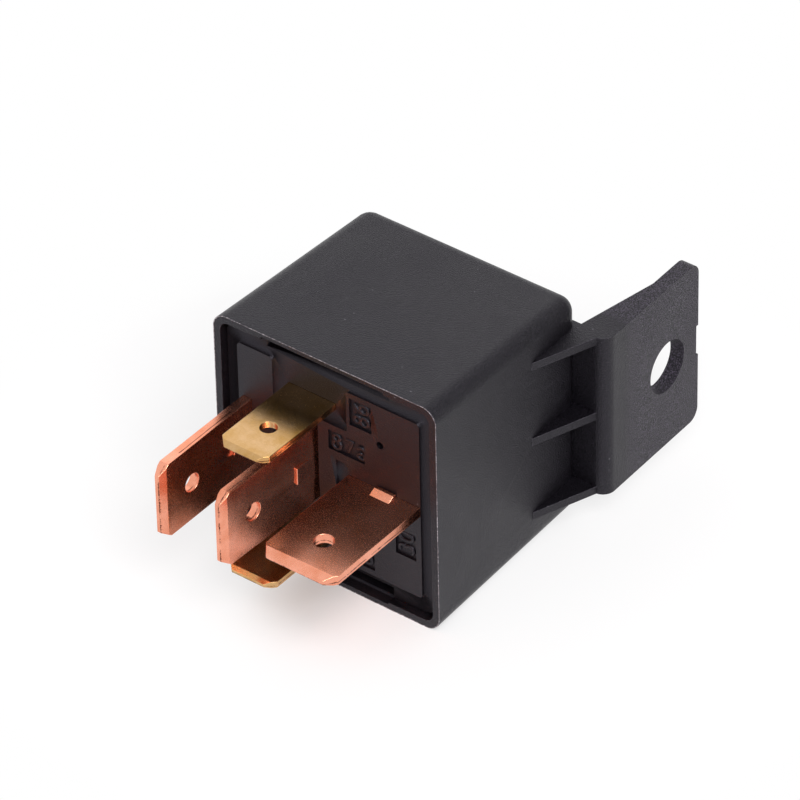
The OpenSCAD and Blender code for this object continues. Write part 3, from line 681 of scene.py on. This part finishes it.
lacquer, out = new_material("blue_lacquer")
tree = lacquer.node_tree
place = add(tree, "TexCoord").outputs["Object"]
height = add(tree, "SeparateXYZ", {0: place}).outputs["Z"]
runs = add(tree, "TexNoise", {"Vector": place, "Scale": 1 / (0.7 * MM), "Detail": 3.0}).outputs["Fac"]
height = add(tree, "Math", {0: runs, 1: 0.12 * MM, 2: height}, operation="MULTIPLY_ADD").outputs[0]
code = add(tree, "MapRange", {"Value": height, "From Min": plug_z - 3 * MM,
                              "From Max": plug_z + 3 * MM}).outputs[0]
bands = add(tree, "ValToRGB", {"Fac": code})
bands.color_ramp.interpolation = "CONSTANT"
bands.color_ramp.elements[0].color = linear("#5d8fb4")
bands.color_ramp.elements[1].position = 0.14
bands.color_ramp.elements[1].color = linear("#4a2a1a")
for at, shade in ((0.24, "#5d8fb4"), (0.36, "#1c1a1a"), (0.45, "#5d8fb4"), (0.55, "#c8762a"),
                  (0.64, "#5d8fb4"), (0.78, "#b8923c"), (0.88, "#5d8fb4")):
    bands.color_ramp.elements.new(at).color = linear(shade)
thick = add(tree, "MapRange", {"Value": runs, "From Min": 0.3, "From Max": 0.7, "To Max": 0.25}).outputs[0]
skin = add(tree, "Mix", {0: thick, "A": bands.outputs["Color"], "B": linear("#3c4a55")}, data_type="RGBA")
relief = add(tree, "Bump", {"Height": runs, "Strength": 0.5, "Distance": 0.03 * MM}).outputs[0]
gloss = add(tree, "BsdfPrincipled", {"Base Color": skin.outputs["Result"], "Roughness": 0.22,
                                     "Normal": relief}).outputs[0]
tree.links.new(gloss, out.inputs["Surface"])
fit_out(eased_copy("resistor_body", "resistor_lacquered", 0.03 * MM), [lacquer] * 2, "housing",
        "resistor_lacquer", "resistor_body")
tinned_wire = iron("tinned_wire", "#cfd0d2", "#b9b9b8", 0.3, 0.06 * MM)
fit_out(eased_copy("resistor_leads", "resistor_wires", 0, limit=70), [tinned_wire], "housing",
        "tinned_wire", "resistor_leads")

# ---- Contacts --------------------------------------------------------------------------
# Rivets of silver alloy with slightly domed faces: one staked in each changeover blade's plate
# and a double one in the leaf of springy copper that is riveted to the armature.

contact_silver = iron("contact_silver", "#d8d6d0", "#b8b2a4", 0.25, 0.05 * MM)
spring_copper = strip_metal("spring_copper", "#e6ab7a", "#c88653", 0.22)
for node in ("contact_normally_open", "contact_normally_closed"):
    fit_out(eased_copy(node, node + "_rivet", 0.04 * MM), [contact_silver] * 2, "housing",
            "silver_alloy", node)
fit_out(eased_copy("moving_contact", "moving_contact_rivet", 0.04 * MM), [contact_silver] * 2,
        "armature_group", "silver_alloy", "moving_contact")
fit_out(eased_copy("contact_leaf", "spring_leaf", 0.03 * MM), [spring_copper] * 2, "armature_group",
        "spring_copper", "contact_leaf")
fit_out(eased_copy("armature_rivets", "leaf_rivets", 0.04 * MM), [rivet_brass] * 2, "armature_group",
        "rivet_metal", "armature_rivets")

# ---- Return spring ---------------------------------------------------------------------
# Tension spring of hard-drawn steel wire, closely wound, hooked through a tongue of the yoke
# and one of the armature.

spring_steel = iron("spring_steel", "#a9acb0", "#8f9296", 0.22, 0.04 * MM)
low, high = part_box("return_spring")
wire_r = 0.15 * MM
coil_r = (high.x - low.x) / 2 - wire_r
axis_x = (low.x + high.x) / 2
first_y, last_y = low.y + 2.2 * MM, low.y + 10.4 * MM
turns = 12
a = np.linspace(0, turns * 2 * math.pi, turns * 36 + 1)
reach = coil_r * np.clip(np.minimum(a, a[-1] - a) / 1.2, 0, 1)
coil = np.stack([axis_x + reach * np.cos(a), np.interp(a, [0, a[-1]], [first_y, last_y]),
                 plug_z + reach * np.sin(a)], 1)
ends = [np.stack([np.full(8, axis_x), np.linspace(y0, y1, 8), np.full(8, plug_z)], 1)
        for y0, y1 in ((low.y, first_y - 0.15 * MM), (last_y + 0.15 * MM, high.y))]
spring = mesh_piece("return_spring_wire", [tube(np.concatenate([ends[0], coil, ends[1]]), wire_r, 8)])
spring.data.materials.append(spring_steel)
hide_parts("return_spring")
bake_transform(spring)

# ---- Cover -----------------------------------------------------------------------------
# Deep square cap of black glass-filled nylon with its mounting tab, root and three gussets
# moulded in one piece; the hole takes a body screw. It snaps over the base.

# painted highlight: beyond 15 mm along Y, where the tab is, the painted glint is eight times stronger, so the
# tab is painted paler
cover_nylon = nylon("cover_nylon", "#030304", "#1a171d", 0.34, 0.15 * MM, 0.14 * MM, ior=1.40,
                    coarse_from=15 * MM, painted_glint_gain=7.0)
# painted edge highlight: the eased edges take this nylon, whose painted glint is far paler than the cover's
painted_edge_glint_nylon = nylon("painted_edge_glint_nylon", "#08070a", "#444147", 0.45, 0.19 * MM, 0.12 * MM, ior=1.42)
cover_shell = eased_copy("cover", "cover_shell", 0.05 * MM)
# the rim's inner side is set back over the snap slots; the planes that bound both recesses are
# cut with the first
planes = [(0, slot_left), (0, slot_left + 0.04 * MM), (0, slot_right - 0.04 * MM), (0, slot_right),
          (1, cover_low.y + 1.2 * MM), (1, cover_low.y + 1.3 * MM)]
for side in (-1, 1):
    inner = plug_z + side * (rim_half - 0.9 * MM)
    set_back(cover_shell, (slot_left + 0.02 * MM, cover_low.y - MM, inner - 0.15 * MM),
             (slot_right - 0.02 * MM, cover_low.y + 1.25 * MM, inner + 0.15 * MM),
             (0, 0, side * recess), planes if side < 0 else ())
fit_out(cover_shell, [cover_nylon, painted_edge_glint_nylon], "housing", "black_moulding", "cover")

# ---- Rim flash -------------------------------------------------------------------------
# Torn fringe of nylon where the two halves of the cover's mould met round the open rim. It is
# part of the cover moulding.


def rounded_square(half, radius, steps):
    """Points round a square with round corners about the plug axis, evenly spaced."""
    flat = half - radius
    a = np.linspace(0, math.pi / 2, 12)
    corners = [np.stack([sx * flat + radius * np.cos(a + turn), sz * flat + radius * np.sin(a + turn)], 1)
               for sx, sz, turn in ((1, 1, 0), (-1, 1, math.pi / 2), (-1, -1, math.pi),
                                    (1, -1, 1.5 * math.pi))]
    loop = np.concatenate(corners + [corners[0][:1]])
    run = np.concatenate([[0], np.cumsum(np.linalg.norm(np.diff(loop, axis=0), axis=1))])
    at = np.linspace(0, run[-1], steps, endpoint=False)
    return np.stack([np.interp(at, run, loop[:, i]) for i in (0, 1)], 1)


steps = 1400
rng = np.random.default_rng(11)
raw = rng.random(steps)
smooth = np.convolve(np.tile(raw, 3), np.ones(5) / 5, "same")[steps:2 * steps]
patchy = np.convolve(np.tile(rng.random(steps), 3), np.hanning(90) / 45, "same")[steps:2 * steps]
rise = 0.16 * MM * np.clip(2.4 * smooth - 0.9, 0.05, 1) * np.clip(3 * patchy - 1.1, 0.15, 1)
corner_r = 1.85 * MM
outline = [rounded_square(rim_half - inset, corner_r - inset, steps) for inset in
           (0.02 * MM, 0.06 * MM, 0.12 * MM, 0.07 * MM)]
level = [np.full(steps, 0.0), -rise, np.full(steps, 0.0), np.full(steps, 0.12 * MM)]
fringe = np.stack([np.stack([plug_x + o[:, 0], cover_low.y + h, plug_z + o[:, 1]], 1)
                   for o, h in zip(outline, level)], 1)
fringe = np.concatenate([fringe, fringe[:1]])
flash = mesh_piece("rim_flash", [(fringe, grid_faces(steps + 1, 4, wrap=True))])
# the flash is painted paler than the cover and its painted glint is nearly white: painted sparkle along the
# rim
painted_sparkle_flash_nylon = nylon("painted_sparkle_flash_nylon", "#262327", "#b9b2b6", 0.35, 0.15 * MM, 0.05 * MM)
fit_out(flash, [painted_sparkle_flash_nylon], "housing", "black_moulding")
